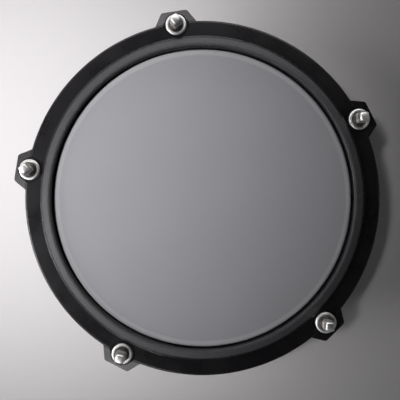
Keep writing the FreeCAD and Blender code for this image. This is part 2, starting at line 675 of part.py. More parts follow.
WING_TURN = 28.0          # how the wings stand at rest, from upright


# ---- write every node ------------------------------------------------------------------------
NODES = {
    "hoop": make_hoop, "rim_cushion": make_rim_cushion, "flesh_hoop": make_flesh_hoop,
    "tension_washers": make_washers, "mesh_head": make_mesh_head, "shell": make_shell,
    "lug_nuts": make_lug_nuts, "bottom_pan": make_pan, "pan_screws": make_pan_screws,
    "trigger_plate": make_trigger_plate, "plate_grommets": make_grommets,
    "plate_screws": make_plate_screws, "piezo_pad": make_piezo_pad, "head_piezo": make_head_piezo,
    "head_piezo_ceramic": make_head_ceramic, "foam_cone": make_foam_cone, "rim_piezo_pad": make_rim_pad,
    "rim_piezo": make_rim_piezo, "rim_piezo_ceramic": make_rim_ceramic,
    "jack_bushing": make_jack_bushing, "jack_body": make_jack_body, "jack_contacts": make_jack_contacts,
    "jack_nut": make_jack_nut, "jack_washer": make_jack_washer, "jack_board": make_board,
    "board_parts": make_board_parts, "lead_header": make_lead_header, "head_lead": make_head_lead,
    "rim_lead": make_rim_lead, "rod_clamp": make_rod_clamp, "clamp_screws": make_clamp_screws,
    "clamp_nut": make_clamp_nut, "clamp_shoe": make_clamp_shoe, "wing_bolt": make_wing_bolt,
    "wing_knob": make_wing_knob,
}


def main():
    os.makedirs("parts", exist_ok=True)
    made = {name: make() for name, make in NODES.items()}
    for number, (place, turn) in enumerate(zip(lug_turns(), HEAD_TURNS), start=1):
        made[f"tension_rod_{number}"] = spun(make_rod(turn), place)
    for name, shape in made.items():
        state = "ok" if shape.isValid() else "NOT VALID"
        print(f"{name:20s} {len(shape.Solids):2d} solids {shape.Volume / 1000:9.3f} cm3  {state}")
        shape.exportStep(f"parts/{name}.step")


main()
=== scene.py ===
# %% [markdown]
# # An electronic drum pad
# This notebook dresses the finished design of a small mesh-head drum pad: it keeps the hard parts as
# they were engineered, builds the pieces that need finer work (the woven head, the rubber rim ring,
# the threaded rods and their washers, the wing knob, the foam) as numpy surfaces, and gives every
# surface a finish made of shader nodes. All lengths are in metres and every pattern is tied to the
# piece it lies on.

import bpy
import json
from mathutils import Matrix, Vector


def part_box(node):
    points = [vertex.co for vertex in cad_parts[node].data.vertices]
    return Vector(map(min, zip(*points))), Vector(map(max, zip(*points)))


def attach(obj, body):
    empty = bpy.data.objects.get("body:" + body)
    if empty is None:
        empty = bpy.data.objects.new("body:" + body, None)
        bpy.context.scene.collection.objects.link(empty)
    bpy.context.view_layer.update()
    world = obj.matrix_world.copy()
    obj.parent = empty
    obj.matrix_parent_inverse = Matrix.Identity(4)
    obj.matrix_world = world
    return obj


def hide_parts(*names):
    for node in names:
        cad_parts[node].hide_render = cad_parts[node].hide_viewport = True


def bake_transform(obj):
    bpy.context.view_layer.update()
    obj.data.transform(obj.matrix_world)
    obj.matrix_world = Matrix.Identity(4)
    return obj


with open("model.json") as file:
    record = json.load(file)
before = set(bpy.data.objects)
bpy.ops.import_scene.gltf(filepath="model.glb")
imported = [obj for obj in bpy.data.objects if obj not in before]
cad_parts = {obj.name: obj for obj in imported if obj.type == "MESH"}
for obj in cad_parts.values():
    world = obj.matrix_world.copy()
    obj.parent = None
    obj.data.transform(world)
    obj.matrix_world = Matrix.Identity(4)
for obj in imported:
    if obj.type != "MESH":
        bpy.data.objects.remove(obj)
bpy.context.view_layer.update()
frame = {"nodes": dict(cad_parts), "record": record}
NODES = frame["nodes"]

# %% Modules and unit
import json
import math

import bpy
import numpy as np

MM = 0.001

# %% [markdown]
# ## Where things are
# Sizes are read off the engineered parts, so nothing here has to be fitted by eye. The five rods stand
# on one circle, which the first rod's box gives, and the height of each face is the top or bottom of
# the part that owns it.

# %% Read the driving sizes from the frame
def low(name):
    """The least x, y and z of a part's box."""
    return np.array(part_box(name)[0])


def high(name):
    """The greatest x, y and z of a part's box."""
    return np.array(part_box(name)[1])


def middle(name):
    return (low(name) + high(name)) / 2


RODS = [f"tension_rod_{i}" for i in range(1, 6)]
ROD_PLACES = [middle(rod)[:2] for rod in RODS]
ROD_CIRCLE = float(np.hypot(*ROD_PLACES[0]))
ROD_ANGLES = [math.atan2(y, x) for x, y in ROD_PLACES]
SEAT_Z = low("tension_washers")[2]
WASHER_R = float(high("tension_washers")[1] - ROD_CIRCLE)
HEAD_Z = high("mesh_head")[2]
HEAD_R = high("mesh_head")[0]
print(f"rod circle {ROD_CIRCLE / MM:.2f} mm, washers {2 * WASHER_R / MM:.1f} mm across,",
      f"head {2 * HEAD_R / MM:.1f} mm across at {HEAD_Z / MM:.1f} mm")

# %% [markdown]
# ## Surfaces as arrays
# A surface here is a grid of points: one index runs along a profile, the other goes round. The whole
# grid is one numpy array, its faces are index arithmetic, and a mesh takes both in one call. Blender's
# own primitives could make a cylinder or a torus, but not a thread or a rounded square that grows out
# of a circle, and those are the shapes that make hardware look real.

# %% Grid to mesh
def volume(points, faces):
    """Signed volume: the sum over each face's triangles of a . (b x c) / 6, positive if faces look out."""
    a, b, c, d = (points[faces[:, i]] for i in range(4))
    return float(((a * np.cross(b, c)).sum() + (a * np.cross(c, d)).sum()) / 6)


def build(name, points, faces, crease=40.0):
    """A mesh object from points and four-cornered faces; a face with a repeated corner is a triangle."""
    if volume(points, faces) < 0:
        faces = faces[:, ::-1]
    doubled = [faces[:, i] == faces[:, (i + 1) % 4] for i in range(4)]
    quads = faces[~np.any(doubled, axis=0)].tolist()
    triangles = []
    for i in range(4):
        keep = [k for k in range(4) if k != i]
        triangles += faces[doubled[i]][:, keep].tolist()
    mesh = bpy.data.meshes.new(name)
    mesh.from_pydata(points.tolist(), [], quads + triangles)
    mesh.polygons.foreach_set("use_smooth", np.ones(len(mesh.polygons), bool))
    mesh.set_sharp_from_angle(angle=math.radians(crease))
    piece = bpy.data.objects.new(name, mesh)
    bpy.context.scene.collection.objects.link(piece)
    return piece


def grid(points, start_pole=False, end_pole=False, loop=False):
    """Points and faces of a surface whose rows are closed rings.

    points has shape (rows, round, 3). Corner (i, j) joins (i + 1, j), (i + 1, j + 1) and (i, j + 1), with
    j wrapping. A pole shrinks the end row to one point; loop joins the last row to the first.
    """
    rows, around = points.shape[:2]
    index = np.arange(rows * around).reshape(rows, around)
    if start_pole:
        index[0] = index[0, 0]
    if end_pole:
        index[-1] = index[-1, 0]
    if loop:
        index = np.vstack([index, index[:1]])
    after = np.roll(index, -1, axis=1)
    faces = np.stack([index[:-1], index[1:], after[1:], after[:-1]], axis=-1).reshape(-1, 4)
    used, faces = np.unique(faces, return_inverse=True)
    return points.reshape(-1, 3)[used], faces.reshape(-1, 4)


def joined(parts):
    """Several (points, faces) pairs as one pair, with the later faces' numbers moved up."""
    offsets = np.cumsum([0] + [len(points) for points, _ in parts[:-1]])
    return (np.concatenate([points for points, _ in parts]),
            np.concatenate([faces + offset for (_, faces), offset in zip(parts, offsets)]))


# %% Profiles with rounded corners
def rounded(corners, pieces=8):
    """A line through (a, b, radius) corners, each turned by an arc that touches both its runs.

    With half the corner's angle h and unit vectors u and v along the runs, the arc's centre is on the
    bisector at radius / sin h, and it touches the runs at radius / tan h from the corner.
    """
    plan = np.array(corners, float)
    line = [plan[:1, :2]]
    for before, corner, after in zip(plan, plan[1:], plan[2:]):
        radius = corner[2]
        if radius == 0:
            line.append(corner[None, :2])
            continue
        u, v = before[:2] - corner[:2], after[:2] - corner[:2]
        u, v = u / np.linalg.norm(u), v / np.linalg.norm(v)
        half = math.acos(np.clip(u @ v, -1, 1)) / 2
        centre = corner[:2] + (u + v) / np.linalg.norm(u + v) * radius / math.sin(half)
        first = corner[:2] + u * radius / math.tan(half) - centre
        last = corner[:2] + v * radius / math.tan(half) - centre
        start = math.atan2(first[1], first[0])
        sweep = (math.atan2(last[1], last[0]) - start + math.pi) % (2 * math.pi) - math.pi
        turn = start + sweep * np.linspace(0, 1, pieces + 1)
        line.append(centre + radius * np.stack([np.cos(turn), np.sin(turn)], axis=1))
    line.append(plan[-1:, :2])
    return np.concatenate(line)


def ring_profile(corners, pieces=8):
    """A closed rounded profile: it starts and ends halfway along the run before the first corner."""
    start = [(corners[0][0] + corners[-1][0]) / 2, (corners[0][1] + corners[-1][1]) / 2, 0]
    return rounded([start, *corners, start], pieces)[:-1]


def lathe(profile, around=256, centre=(0.0, 0.0)):
    """A (radius, height) profile carried round a vertical axis: x = r cos a, y = r sin a, z = h."""
    turn = np.linspace(0, 2 * math.pi, around, endpoint=False)
    r, z = profile[:, :1], profile[:, 1:]
    return np.stack([centre[0] + r * np.cos(turn), centre[1] + r * np.sin(turn), z + 0 * turn], axis=-1)


# %% [markdown]
# ## Shader helpers
# Every finish starts from the Principled shader. Patterns are in the piece's own space, in metres, so a
# scale of 2000 means features half a millimetre wide, and the same texture fits any part of the pad.
# Values that are the same everywhere are typed into the shader itself.

# %% Node helpers
class Finish:
    """A material with the few node moves that the finishes below share."""

    def __init__(self, name, **sockets):
        self.material = bpy.data.materials.new(name)
        self.material.use_nodes = True
        self.tree = self.material.node_tree
        self.shader = self.tree.nodes["Principled BSDF"]
        for socket, value in sockets.items():
            self.shader.inputs[socket.replace("_", " ")].default_value = value
        self.place = self.add("ShaderNodeTexCoord").outputs["Object"]

    def add(self, kind, **settings):
        node = self.tree.nodes.new(kind)
        for key, value in settings.items():
            setattr(node, key, value)
        return node

    def feed(self, socket, value):
        if isinstance(value, bpy.types.NodeSocket):
            self.tree.links.new(value, socket)
        else:
            socket.default_value = value

    def maths(self, operation, *values, clamp=False):
        node = self.add("ShaderNodeMath", operation=operation, use_clamp=clamp)
        for socket, value in zip(node.inputs, values):
            self.feed(socket, value)
        return node.outputs[0]

    def stretched(self, scale):
        """The piece's space with each axis multiplied, which draws a pattern out along the others."""
        node = self.add("ShaderNodeMapping")
        self.feed(node.inputs["Vector"], self.place)
        node.inputs["Scale"].default_value = scale
        return node.outputs[0]

    def noise(self, scale, detail=2.0, roughness=0.5, vector=None):
        node = self.add("ShaderNodeTexNoise")
        self.feed(node.inputs["Vector"], self.place if vector is None else vector)
        node.inputs["Scale"].default_value = scale
        node.inputs["Detail"].default_value = detail
        node.inputs["Roughness"].default_value = roughness
        return node.outputs["Fac"]

    def cells(self, scale, feature="F1"):
        node = self.add("ShaderNodeTexVoronoi", feature=feature)
        self.feed(node.inputs["Vector"], self.place)
        node.inputs["Scale"].default_value = scale
        return node.outputs["Distance"]

    def ramp(self, value, low, high, start=0.0, end=1.0):
        """value from start to end becomes low to high, held beyond both."""
        node = self.add("ShaderNodeMapRange", interpolation_type="SMOOTHSTEP")
        for name, number in (("Value", value), ("From Min", start), ("From Max", end),
                             ("To Min", low), ("To Max", high)):
            self.feed(node.inputs[name], number)
        return node.outputs[0]

    def tint(self, share, one, other):
        """A colour between two, by a share from 0 to 1."""
        node = self.add("ShaderNodeMix", data_type="RGBA")
        self.feed(node.inputs["Factor"], share)
        colours = [s for s in node.inputs if s.type == "RGBA"]
        self.feed(colours[0], (*one, 1.0) if isinstance(one, tuple) else one)
        self.feed(colours[1], (*other, 1.0) if isinstance(other, tuple) else other)
        return next(s for s in node.outputs if s.type == "RGBA")

    def colour(self, value):
        self.feed(self.shader.inputs["Base Color"], value)
        return self

    def rough(self, value):
        self.feed(self.shader.inputs["Roughness"], value)
        return self

    def bump(self, height, depth, strength=1.0):
        node = self.add("ShaderNodeBump")
        node.inputs["Distance"].default_value = depth
        node.inputs["Strength"].default_value = strength
        self.feed(node.inputs["Height"], height)
        self.feed(self.shader.inputs["Normal"], node.outputs["Normal"])
        return self


# %% [markdown]
# ## The finishes
# One function per finish. The hoop is satin black moulding with a fine spark-eroded grain and a few
# pale scuffs; the rim ring is a pebbled rubber; the cloth is a plain weave drawn on its own flat cut.
# Plated steel is left bright with fine turning marks, because a perfectly clean mirror reads as glass.

# %% Black mouldings
def satin_hoop_moulding():
    f = Finish("satin_hoop_moulding", Specular_IOR_Level=0.45)
    grain = f.noise(2600, 2.0, 0.6)
    cloud = f.noise(38, 3.0, 0.55)
    streaks = f.noise(60, 4.0, 0.7, f.stretched((1.0, 9.0, 1.0)))
    scuffs = f.ramp(streaks, 0.0, 0.35, 0.66, 0.78)
    black = f.tint(cloud, (0.0064, 0.0056, 0.0066), (0.0092, 0.0082, 0.0096))
    f.colour(f.tint(scuffs, black, (0.022, 0.021, 0.023)))
    f.rough(f.ramp(cloud, 0.24, 0.32, 0.35, 0.65))
    return f.bump(f.maths("ADD", grain, f.maths("MULTIPLY", f.noise(700, 3.0), 0.6)), 0.00004, 0.5).material


def matt_shell_moulding():
    f = Finish("matt_shell_moulding", Specular_IOR_Level=0.4)
    grain = f.cells(1500)
    cloud = f.noise(26, 4.0, 0.6)
    f.colour(f.tint(cloud, (0.0120, 0.0120, 0.0130), (0.0190, 0.0190, 0.0200)))
    f.rough(f.ramp(cloud, 0.50, 0.62, 0.3, 0.7))
    return f.bump(f.maths("ADD", grain, f.noise(3200, 2.0)), 0.00006, 0.55).material


def flesh_hoop_moulding():
    f = Finish("flesh_hoop_moulding", Specular_IOR_Level=0.4)
    f.colour(f.tint(f.noise(40, 3.0), (0.016, 0.016, 0.017), (0.030, 0.030, 0.032)))
    f.rough(f.ramp(f.noise(90, 2.0), 0.45, 0.6))
    return f.bump(f.noise(1800, 2.0), 0.00005, 0.4).material


def glossy_jack_moulding():
    f = Finish("glossy_jack_moulding")
    f.colour(f.tint(f.noise(70, 2.0), (0.012, 0.012, 0.012), (0.022, 0.022, 0.022)))
    f.rough(f.ramp(f.noise(300, 3.0), 0.2, 0.34))
    return f.bump(f.noise(500, 2.0), 0.00003, 0.3).material


def filled_nylon_knob():
    f = Finish("filled_nylon_knob", Specular_IOR_Level=0.45)
    flecks = f.ramp(f.noise(1400, 2.0, vector=f.stretched((1.0, 0.25, 1.0))), 0.0, 1.0, 0.55, 0.75)
    f.colour(f.tint(flecks, (0.014, 0.014, 0.015), (0.030, 0.030, 0.031)))
    f.rough(f.ramp(f.noise(120, 3.0), 0.4, 0.55))
    return f.bump(f.noise(2200, 3.0), 0.00005, 0.6).material


# %% Rubber and foam
def pebbled_rim_rubber():
    f = Finish("pebbled_rim_rubber", Specular_IOR_Level=0.72)
    pebbles = f.cells(1150, "SMOOTH_F1")
    speckle = f.noise(900, 2.0, 0.6)
    dust = f.noise(45, 4.0, 0.6)
    f.colour(f.tint(f.ramp(speckle, 0.0, 0.8, 0.4, 0.7),
                    f.tint(dust, (0.018, 0.018, 0.020), (0.024, 0.024, 0.027)), (0.044, 0.043, 0.048)))
    f.rough(f.ramp(speckle, 0.5, 0.62, 0.3, 0.7))
    return f.bump(f.maths("SUBTRACT", f.maths("MULTIPLY", speckle, 0.5), pebbles), 0.00022, 0.75).material


def soft_grommet_rubber():
    f = Finish("soft_grommet_rubber", Specular_IOR_Level=0.3)
    f.colour(f.tint(f.noise(160, 3.0), (0.014, 0.014, 0.014), (0.030, 0.029, 0.028)))
    f.rough(f.ramp(f.noise(400, 2.0), 0.65, 0.8))
    return f.bump(f.noise(1500, 3.0), 0.00006, 0.5).material


def open_cell_foam(name, dark, pale, cell):
    f = Finish(name, Specular_IOR_Level=0.2, Sheen_Weight=0.3, Sheen_Roughness=0.6)
    pores = f.cells(cell)
    f.colour(f.tint(f.ramp(pores, 0.0, 1.0, 0.1, 0.6), dark, pale))
    f.rough(f.ramp(pores, 0.85, 0.95))
    fine = f.maths("MULTIPLY", f.noise(cell * 2, 3.0), 0.4)
    return f.bump(f.maths("ADD", pores, fine), 0.0004, 0.9).material


# %% Metals
def turned_plating(name, pale, dark, smooth, dull):
    """Plated steel with fine marks drawn out round the piece, and a slow cloud of handling haze."""
    f = Finish(name, Metallic=1.0)
    marks = f.noise(500, 3.0, 0.6, f.stretched((1.0, 1.0, 14.0)))
    haze = f.noise(140, 3.0, 0.55)
    f.colour(f.tint(haze, pale, dark))
    f.rough(f.maths("ADD", f.ramp(haze, smooth, dull, 0.35, 0.7), f.maths("MULTIPLY", marks, 0.06)))
    return f.bump(marks, 0.00002, 0.25).material


def rod_plating():
    """Bright zinc, with painted shade on the collar in the well of the cup under the head."""
    f = Finish("rod_plating", Metallic=1.0)
    split = f.add("ShaderNodeSeparateXYZ")
    f.feed(split.inputs[0], f.place)
    above = f.maths("SUBTRACT", split.outputs[2], float(SEAT_Z))
    marks = f.noise(500, 3.0, 0.6, f.stretched((1.0, 1.0, 14.0)))
    haze = f.noise(160, 3.0, 0.55)
    # Painted shade: from the seat up to the head the collar is tinted dark, for the shade in the well of
    # the cup under the head.
    below_head, above_seat = f.ramp(above, 1.0, 0.0, 0.0034, 0.0052), f.ramp(above, 0.0, 1.0, 0.0, 0.0004)
    painted_collar_shade = f.maths("MULTIPLY", below_head, above_seat)
    clean = f.tint(haze, (0.90, 0.89, 0.87), (0.78, 0.77, 0.75))
    # The dark tint below is that painted shade on the collar.
    f.colour(f.tint(painted_collar_shade, clean, f.tint(haze, (0.16, 0.15, 0.14), (0.08, 0.075, 0.07))))
    f.rough(f.maths("ADD", f.ramp(haze, 0.30, 0.42, 0.35, 0.7), f.maths("MULTIPLY", marks, 0.10)))
    return f.bump(marks, 0.00003, 0.4).material


def zinc_sheet():
    f = Finish("zinc_sheet", Metallic=1.0)
    spangle = f.cells(110, "F1")
    f.colour(f.tint(spangle, (0.50, 0.51, 0.52), (0.66, 0.66, 0.64)))
    f.rough(f.ramp(spangle, 0.3, 0.46))
    return f.bump(f.noise(900, 3.0, vector=f.stretched((1.0, 8.0, 1.0))), 0.00002, 0.3).material


def tumbled_casting():
    f = Finish("tumbled_casting", Metallic=1.0)
    skin = f.noise(420, 4.0, 0.65)
    f.colour(f.tint(skin, (0.36, 0.36, 0.37), (0.52, 0.52, 0.53)))
    f.rough(f.ramp(skin, 0.42, 0.6))
    return f.bump(skin, 0.00012, 0.6).material


def silvered_ceramic():
    f = Finish("silvered_ceramic", Metallic=0.7)
    brush = f.noise(500, 3.0, vector=f.stretched((1.0, 12.0, 1.0)))
    f.colour(f.tint(brush, (0.72, 0.70, 0.64), (0.84, 0.82, 0.77)))
    f.rough(f.ramp(brush, 0.35, 0.55))
    return f.bump(brush, 0.00002, 0.3).material


# %% Board, plugs and leads
def solder_mask():
    f = Finish("solder_mask", Coat_Weight=0.3, Coat_Roughness=0.15)
    tracks = f.ramp(f.cells(170, "DISTANCE_TO_EDGE"), 1.0, 0.0, 0.03, 0.06)
    f.colour(f.tint(tracks, (0.010, 0.085, 0.032), (0.018, 0.140, 0.055)))
    f.rough(f.ramp(f.noise(260, 2.0), 0.3, 0.42))
    return f.bump(tracks, 0.00004, 0.5).material


def lacquered_component():
    f = Finish("lacquered_component", Coat_Weight=0.4, Coat_Roughness=0.2)
    f.colour(f.tint(f.noise(300, 3.0), (0.30, 0.19, 0.10), (0.44, 0.30, 0.17)))
    return f.rough(f.ramp(f.noise(600, 2.0), 0.3, 0.45)).material


def natural_nylon():
    f = Finish("natural_nylon", Subsurface_Weight=0.1, Subsurface_Scale=0.001)
    f.colour(f.tint(f.noise(120, 3.0), (0.66, 0.63, 0.55), (0.76, 0.74, 0.67)))
    f.rough(f.ramp(f.noise(500, 2.0), 0.38, 0.5))
    return f.bump(f.noise(900, 2.0), 0.00003, 0.3).material


def lead_sheath(name, dark, pale):
    f = Finish(name, Specular_IOR_Level=0.45)
    f.colour(f.tint(f.noise(200, 3.0), dark, pale))
    f.rough(f.ramp(f.noise(700, 2.0), 0.35, 0.5))
    return f.bump(f.noise(1200, 2.0), 0.00004, 0.4).material


# %% [markdown]
# ## The woven head
# The head is a two-layer polyester mesh. Its weave is finer than a picture of the whole pad can show,
# so it is drawn in the material, on the flat cut of the cloth: the map below stores, for every point,
# where it lay before the cloth was pulled over the edge. The threads pass over and under in turn, the
# gaps between them are darker, and the band over the bearing edge is painted paler, a painted
# highlight where the cloth rolls over the edge.

# %% The head's outline and its flat cut
def head_profile():
    """Outer face of the cloth: flat, then an arc over the bearing edge, then down into the flesh hoop."""
    return rounded([(0, HEAD_Z, 0), (HEAD_R, HEAD_Z, 2.2 * MM), (HEAD_R, 48.2 * MM, 6 * MM),
                    (HEAD_R + 0.9 * MM, 44.6 * MM, 0)], 14)


def dense(line, step):
    """The line again with points no more than a step apart, and how far along it each one lies."""
    along = np.concatenate([[0], np.cumsum(np.linalg.norm(np.diff(line, axis=0), axis=1))])
    at = np.union1d(along, np.arange(0, along[-1], step))
    return np.stack([np.interp(at, along, line[:, k]) for k in (0, 1)], axis=1), at


HEAD_LINE, HEAD_CUT = dense(head_profile(), 6 * MM)
CUT = 2 * float(HEAD_CUT[-1])
print(f"the head is cut from cloth {CUT / MM:.1f} mm across")

# %% Mesh cloth finish
THREAD = 0.00062


def mesh_cloth():
    """A plain weave on the flat cut: threads are |sin| waves, and the sign of the product of the two
    sines says which set lies on top."""
    f = Finish("mesh_cloth", Specular_IOR_Level=0.3, Sheen_Weight=0.12, Sheen_Roughness=0.4)
    cut = f.add("ShaderNodeUVMap", uv_map="flat_cut").outputs["UV"]
    split = f.add("ShaderNodeSeparateXYZ")
    f.feed(split.inputs[0], cut)
    waves = [f.maths("SINE", f.maths("MULTIPLY", split.outputs[i], math.pi * CUT / THREAD)) for i in (0, 1)]
    backs = [f.maths("ABSOLUTE", wave) for wave in waves]
    over = f.maths("GREATER_THAN", f.maths("MULTIPLY", *waves), 0.0)
    top = f.maths("ADD", f.maths("MULTIPLY", backs[0], over),
                  f.maths("MULTIPLY", backs[1], f.maths("SUBTRACT", 1.0, over)))
    body = f.ramp(f.maths("MAXIMUM", *backs), 0.0, 1.0, 0.25, 0.75)
    offset = [f.maths("SUBTRACT", split.outputs[i], 0.5) for i in (0, 1)]
    far = f.maths("SQRT", f.maths("ADD", *[f.maths("MULTIPLY", o, o) for o in offset]))
    # Painted highlight: a paler ring on the cut, 94 to 101 mm out, where the cloth rolls over the bearing
    # edge.
    edge = f.maths("MULTIPLY", f.ramp(far, 0.0, 1.0, 0.0940 / CUT, 0.0952 / CUT),
                   f.ramp(far, 1.0, 0.0, 0.0990 / CUT, 0.1010 / CUT))
    cloud = f.noise(22, 3.0, 0.5)
    use = f.ramp(f.noise(9, 2.0, 0.4), 0.0, 0.35, 0.5, 0.75)
    plain = f.tint(cloud, (0.335, 0.332, 0.352), (0.365, 0.362, 0.380))
    worn = f.tint(use, plain, (0.318, 0.314, 0.318))
    # The paler thread colour on that ring is the painted highlight.
    thread = f.tint(edge, worn, (0.440, 0.438, 0.455))
    f.colour(f.tint(body, (0.200, 0.198, 0.210), thread))
    f.rough(f.ramp(top, 0.82, 0.68))
    return f.bump(top, 0.00010, 0.45).material


# %% Stretch the head over its bearing edge
def make_head(around=256, thick=0.5 * MM):
    """The cloth's outer face and, a thickness inside it along the normal, its inner face.

    A point that lies s along the outline from the centre, at angle a, was at (s cos a, s sin a) on the cut.
    """
    slope = np.gradient(HEAD_LINE, axis=0)
    normal = np.stack([slope[:, 1], -slope[:, 0]], axis=1)
    inner = HEAD_LINE + thick * normal / np.linalg.norm(normal, axis=1, keepdims=True)
    inner[0] = (0.0, HEAD_Z - thick)
    points, faces = grid(lathe(np.concatenate([HEAD_LINE, inner[::-1]]), around), True, True)
    piece = build("mesh_cloth_head", points, faces, 60)
    row = (np.arange(len(points)) - 1) // around + 1
    reach = np.concatenate([HEAD_CUT, HEAD_CUT[::-1]])[row]
    angle = np.arctan2(points[:, 1], points[:, 0])
    flat = 0.5 + np.stack([reach * np.cos(angle), reach * np.sin(angle)], axis=1) / CUT
    corner = np.empty(len(piece.data.loops), int)
    piece.data.loops.foreach_get("vertex_index", corner)
    piece.data.uv_layers.new(name="flat_cut").data.foreach_set("uv", flat[corner].ravel())
    return piece


head = make_head()
head.data.materials.append(mesh_cloth())
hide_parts("mesh_head")
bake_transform(head)
print("head:", len(head.data.polygons), "faces")

# %% [markdown]
# ## The rubber rim ring
# A moulded ring sits in the hoop's groove. Its back falls away outwards, its inner edge is crisp and its
# outer edge is rolled over a small step. A revolved profile says all of that in a few corners; the
# pebble grain is left to the material.

# %% Turn the rim ring
def make_rim_ring():
    """A closed rounded section, crisp inside and falling away outwards, turned round the drum's axis."""
    inside, outside = 99.5 * MM, high("rim_cushion")[0]
    seat, top = low("rim_cushion")[2], high("rim_cushion")[2]
    fall = 1.2 * MM
    corners = [(inside, seat, 0.1 * MM), (inside, top - 0.1 * MM, 0.4 * MM),
               (inside + 1.4 * MM, top, 2.0 * MM), (outside - 1.0 * MM, top - 0.75 * fall, 1.2 * MM),
               (outside, top - fall - 0.1 * MM, 0.5 * MM), (outside, seat, 0.1 * MM)]
    profile = ring_profile(corners, 6)
    return build("rim_ring", *grid(lathe(profile, 320), loop=True), 50)


rim = make_rim_ring()
rim.data.materials.append(pebbled_rim_rubber())
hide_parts("rim_cushion")
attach(rim, "hoop_assembly")
print("rim ring:", len(rim.data.polygons), "faces")

# %% [markdown]
# ## Tension rods
# Each rod is one surface from its tip to the top of its head. Going up, the outline changes from a
# circle to a rounded square, and on the shank the radius rises and falls along a helix, one rise to
# each millimetre of pitch. Carrying one outline up the rod keeps the whole rod a single closed skin,
# where joining a cylinder, a cone and a cube would leave seams.

# %% Rod surface
ROD_PITCH = 1.0 * MM
THREAD_DEPTH = 0.42 * MM
THREAD_START = 0.9 * MM      # above the tip
NECK_Z = 49 * MM             # where the thread ends
LEAST_STEP = 1e-9            # keeps two rows at one height in order


def squared(turn, half, power):
    """Radius of |x|^n + |y|^n = half^n at an angle: a circle for n = 2, nearly a square for n = 9."""
    return half / (np.abs(np.cos(turn)) ** power + np.abs(np.sin(turn)) ** power) ** (1 / power)


def helix(turn, along, pitch):
    """A thread's shape, 0 at the root and 1 at the crest: a flat-topped wave of along / pitch - turn."""
    wave = np.abs((along / pitch - turn / (2 * math.pi)) % 1.0 - 0.5) * 2
    return np.clip((wave - 0.12) / 0.76, 0, 1)


def rod_rows(bottom, top):
    """(height, half width, power) of the outline where it changes, from the tip to the head's top."""
    neck, seat, square = NECK_Z, SEAT_Z + 0.6 * MM, 7.5
    shape = [(bottom, 1.9, 2), (bottom + 0.15 * MM, 2.2, 2), (bottom + THREAD_START, 3.0, 2),
             (neck, 3.0, 2), (neck + 0.4 * MM, 2.7, 2), (seat - 0.05 * MM, 2.7, 2),
             (seat, 2.75, 2), (seat + 0.01 * MM, 4.4, 2),
             (seat + 0.16 * MM, 4.6, 2), (seat + 0.55 * MM, 4.65, 2), (seat + 0.80 * MM, 4.6, 2),
             (seat + 1.05 * MM, 4.4, 2), (seat + 1.9 * MM, 3.95, 2), (seat + 2.35 * MM, 3.66, 2.2),
             (seat + 2.6 * MM, 3.42, 3.0), (seat + 2.9 * MM, 3.18, 5.0), (seat + 3.3 * MM, 3.1, square),
             (top - 2.0 * MM, 3.1, square), (top - 1.7 * MM, 3.08, 6.5), (top - 1.1 * MM, 2.98, 4.2),
             (top - 0.55 * MM, 2.78, 3.2), (top - 0.18 * MM, 2.48, 2.8), (top - 0.02 * MM, 2.15, 2.6),
             (top, 1.7, 2.5), (top, 0.0, 2.5)]
    return np.array(shape) * (1, MM, 1)


def threaded_rows(rows, first, last, pitch, per_pitch=9):
    """The rows with extra ones through the thread, so that each pitch has several.

    The top height comes twice, for the rim of the head's top and its centre.
    """
    z = np.union1d(rows[:, 0], np.arange(first, last, pitch / per_pitch))
    z = np.append(z, rows[rows[:, 0] == rows[-1, 0], 0][1:])
    spread = rows.copy()
    spread[:, 0] += np.arange(len(rows)) * LEAST_STEP
    z = np.sort(z) + np.arange(len(z)) * LEAST_STEP
    return z, np.interp(z, spread[:, 0], rows[:, 1]), np.interp(z, spread[:, 0], rows[:, 2])


def make_rod(name, place, head_turn, around=44):
    """Radius = outline - depth x fade x (1 - helix); the fade brings the thread in and out at its ends."""
    bottom, top = low(name)[2], high(name)[2]
    z, half, power = threaded_rows(rod_rows(bottom, top), bottom + THREAD_START, NECK_Z, ROD_PITCH)
    half[-1] = 0.0
    turn = np.linspace(0, 2 * math.pi, around, endpoint=False)[None, :]
    z, half, power = z[:, None], half[:, None], power[:, None]
    cut = np.clip((z - bottom) / (1.2 * MM), 0, 1) * np.clip((NECK_Z + 0.4 * MM - z) / (0.8 * MM), 0, 1)
    r = squared(turn, half, power) - THREAD_DEPTH * cut * (1 - helix(turn, z, ROD_PITCH))
    twist = turn + head_turn
    points = np.stack([place[0] + r * np.cos(twist), place[1] + r * np.sin(twist), z + 0 * turn], axis=-1)
    base = points[:1].copy()
    base[..., :2] = place
    points = np.concatenate([base, points])
    return build(f"{name}_turned", *grid(points, start_pole=True, end_pole=True), 48)


# %% Cut the five rods
HEAD_TURNS = [30.0, 52.0, 12.0, 40.0, 66.0]
satin_rod = rod_plating()
for number, (name, place) in enumerate(zip(RODS, ROD_PLACES), start=1):
    own_angle = ROD_ANGLES[number - 1] + math.radians(HEAD_TURNS[number - 1])
    rod = make_rod(name, place, own_angle)
    rod.data.materials.append(satin_rod)
    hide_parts(name)
    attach(rod, f"rod_{number}")
print("rods: five, each", len(rod.data.polygons), "faces")

# %% [markdown]
# ## Cup washers
# Under each rod's collar lies a small plated cup: a flat floor with a rolled rim round it. The rim is
# what catches the light, so its profile is a nearly round bead.

